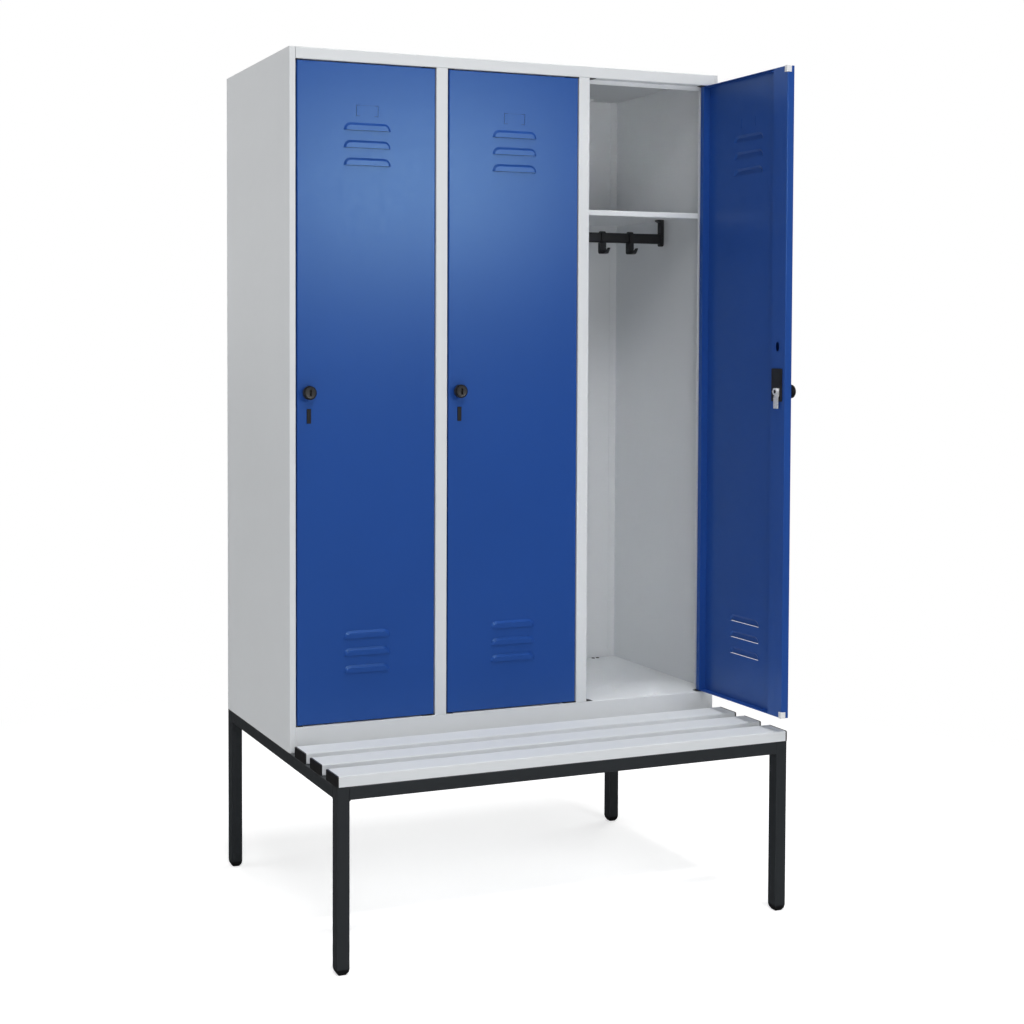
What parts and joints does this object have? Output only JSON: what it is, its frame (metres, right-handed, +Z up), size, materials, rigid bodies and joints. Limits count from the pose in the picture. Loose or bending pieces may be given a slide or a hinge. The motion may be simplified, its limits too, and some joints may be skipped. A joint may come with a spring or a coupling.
{
  "type": "clothes locker with bench",
  "caption": "Steel clothes locker with hinged louvred doors, hat shelves, coat rails with sliding hooks and turn-knob locks, standing on a tube frame with a slatted bench in front.",
  "frame": {"origin": "on the floor, midway between the outer faces of the four legs", "axes": "+X to the right along the doors, +Y from the bench to the back, +Z up"},
  "size_m": [1.1861, 0.843, 2.09],
  "materials": {
    "body_grey": "light grey powder coat, satin",
    "door_blue": "gentian blue powder coat, satin",
    "frame_grey": "dark grey powder coat, satin",
    "slat_grey": "pale grey extruded plastic",
    "black_plastic": "black moulded plastic",
    "white_plastic": "white soft plastic",
    "zinc_steel": "zinc plated"
  },
  "bodies": {
    "locker": {"back_panel": "body_grey", "bench_legs": "frame_grey", "bench_slat_1": "slat_grey", "bench_slat_2": "slat_grey", "bench_slat_3": "slat_grey", "cabinet_bolts": "zinc_steel", "coat_rail_1": "black_plastic", "coat_rail_2": "black_plastic", "coat_rail_3": "black_plastic", "corner_plugs": "black_plastic", "divider_1": "body_grey", "divider_2": "body_grey", "floor_panel": "body_grey", "front_rail": "frame_grey", "hat_shelf_1": "body_grey", "hat_shelf_2": "body_grey", "hat_shelf_3": "body_grey", "hinge_bushes": "black_plastic", "leg_feet": "black_plastic", "middle_rail": "frame_grey", "rail_brackets": "black_plastic", "rear_rail": "frame_grey", "side_panel_left": "body_grey", "side_panel_right": "body_grey", "side_rail_left": "frame_grey", "side_rail_right": "frame_grey", "slat_end_caps": "black_plastic", "slat_screws": "zinc_steel", "top_panel": "body_grey"},
    "door_1": {"door_panel_1": "door_blue", "hinge_pins_1": "zinc_steel", "door_buffers_1": "white_plastic", "slot_plug_1": "black_plastic", "lock_case_1": "black_plastic"},
    "lock_1": {"lock_knob_1": "black_plastic", "lock_cam_1": "zinc_steel"},
    "door_2": {"door_panel_2": "door_blue", "hinge_pins_2": "zinc_steel", "door_buffers_2": "white_plastic", "slot_plug_2": "black_plastic", "lock_case_2": "black_plastic"},
    "lock_2": {"lock_knob_2": "black_plastic", "lock_cam_2": "zinc_steel"},
    "door_3": {"door_panel_3": "door_blue", "hinge_pins_3": "zinc_steel", "door_buffers_3": "white_plastic", "slot_plug_3": "black_plastic", "lock_case_3": "black_plastic"},
    "lock_3": {"lock_knob_3": "black_plastic", "lock_cam_3": "zinc_steel"},
    "coat_hook_1_1": {"coat_hook_1_1": "black_plastic"},
    "coat_hook_1_2": {"coat_hook_1_2": "black_plastic"},
    "coat_hook_1_3": {"coat_hook_1_3": "black_plastic"},
    "coat_hook_2_1": {"coat_hook_2_1": "black_plastic"},
    "coat_hook_2_2": {"coat_hook_2_2": "black_plastic"},
    "coat_hook_2_3": {"coat_hook_2_3": "black_plastic"},
    "coat_hook_3_1": {"coat_hook_3_1": "black_plastic"},
    "coat_hook_3_2": {"coat_hook_3_2": "black_plastic"},
    "coat_hook_3_3": {"coat_hook_3_3": "black_plastic"}
  },
  "joints": [
    {"name": "door_1_hinge", "type": "hinge", "parent": "locker", "child": "door_1", "pos_m": [-0.224, -0.0865, 1.2715], "axis": [0, 0, 1], "range_deg": [0, 115]},
    {"name": "lock_1_turn", "type": "hinge", "parent": "door_1", "child": "lock_1", "pos_m": [-0.545, -0.0925, 1.277], "axis": [0, 1, 0], "range_deg": [0, 90]},
    {"name": "door_2_hinge", "type": "hinge", "parent": "locker", "child": "door_2", "pos_m": [0.169, -0.0865, 1.2715], "axis": [0, 0, 1], "range_deg": [0, 115]},
    {"name": "lock_2_turn", "type": "hinge", "parent": "door_2", "child": "lock_2", "pos_m": [-0.152, -0.0925, 1.277], "axis": [0, 1, 0], "range_deg": [0, 90]},
    {"name": "door_3_hinge", "type": "hinge", "parent": "locker", "child": "door_3", "pos_m": [0.562, -0.0865, 1.2715], "axis": [0, 0, 1], "range_deg": [-91, 24]},
    {"name": "lock_3_turn", "type": "hinge", "parent": "door_3", "child": "lock_3", "pos_m": [0.5736, -0.40735, 1.277], "axis": [-0.9998, -0.0175, 0], "range_deg": [0, 90]},
    {"name": "coat_hook_1_1_slide", "type": "slide", "parent": "locker", "child": "coat_hook_1_1", "axis": [1, 0, 0], "range_m": [-0.08, 0.06]},
    {"name": "coat_hook_1_2_slide", "type": "slide", "parent": "locker", "child": "coat_hook_1_2", "axis": [1, 0, 0], "range_m": [-0.06, 0.06]},
    {"name": "coat_hook_1_3_slide", "type": "slide", "parent": "locker", "child": "coat_hook_1_3", "axis": [1, 0, 0], "range_m": [-0.06, 0.08]},
    {"name": "coat_hook_2_1_slide", "type": "slide", "parent": "locker", "child": "coat_hook_2_1", "axis": [1, 0, 0], "range_m": [-0.08, 0.06]},
    {"name": "coat_hook_2_2_slide", "type": "slide", "parent": "locker", "child": "coat_hook_2_2", "axis": [1, 0, 0], "range_m": [-0.06, 0.06]},
    {"name": "coat_hook_2_3_slide", "type": "slide", "parent": "locker", "child": "coat_hook_2_3", "axis": [1, 0, 0], "range_m": [-0.06, 0.08]},
    {"name": "coat_hook_3_1_slide", "type": "slide", "parent": "locker", "child": "coat_hook_3_1", "axis": [1, 0, 0], "range_m": [-0.08, 0.06]},
    {"name": "coat_hook_3_2_slide", "type": "slide", "parent": "locker", "child": "coat_hook_3_2", "axis": [1, 0, 0], "range_m": [-0.06, 0.06]},
    {"name": "coat_hook_3_3_slide", "type": "slide", "parent": "locker", "child": "coat_hook_3_3", "axis": [1, 0, 0], "range_m": [-0.06, 0.08]}
  ]
}
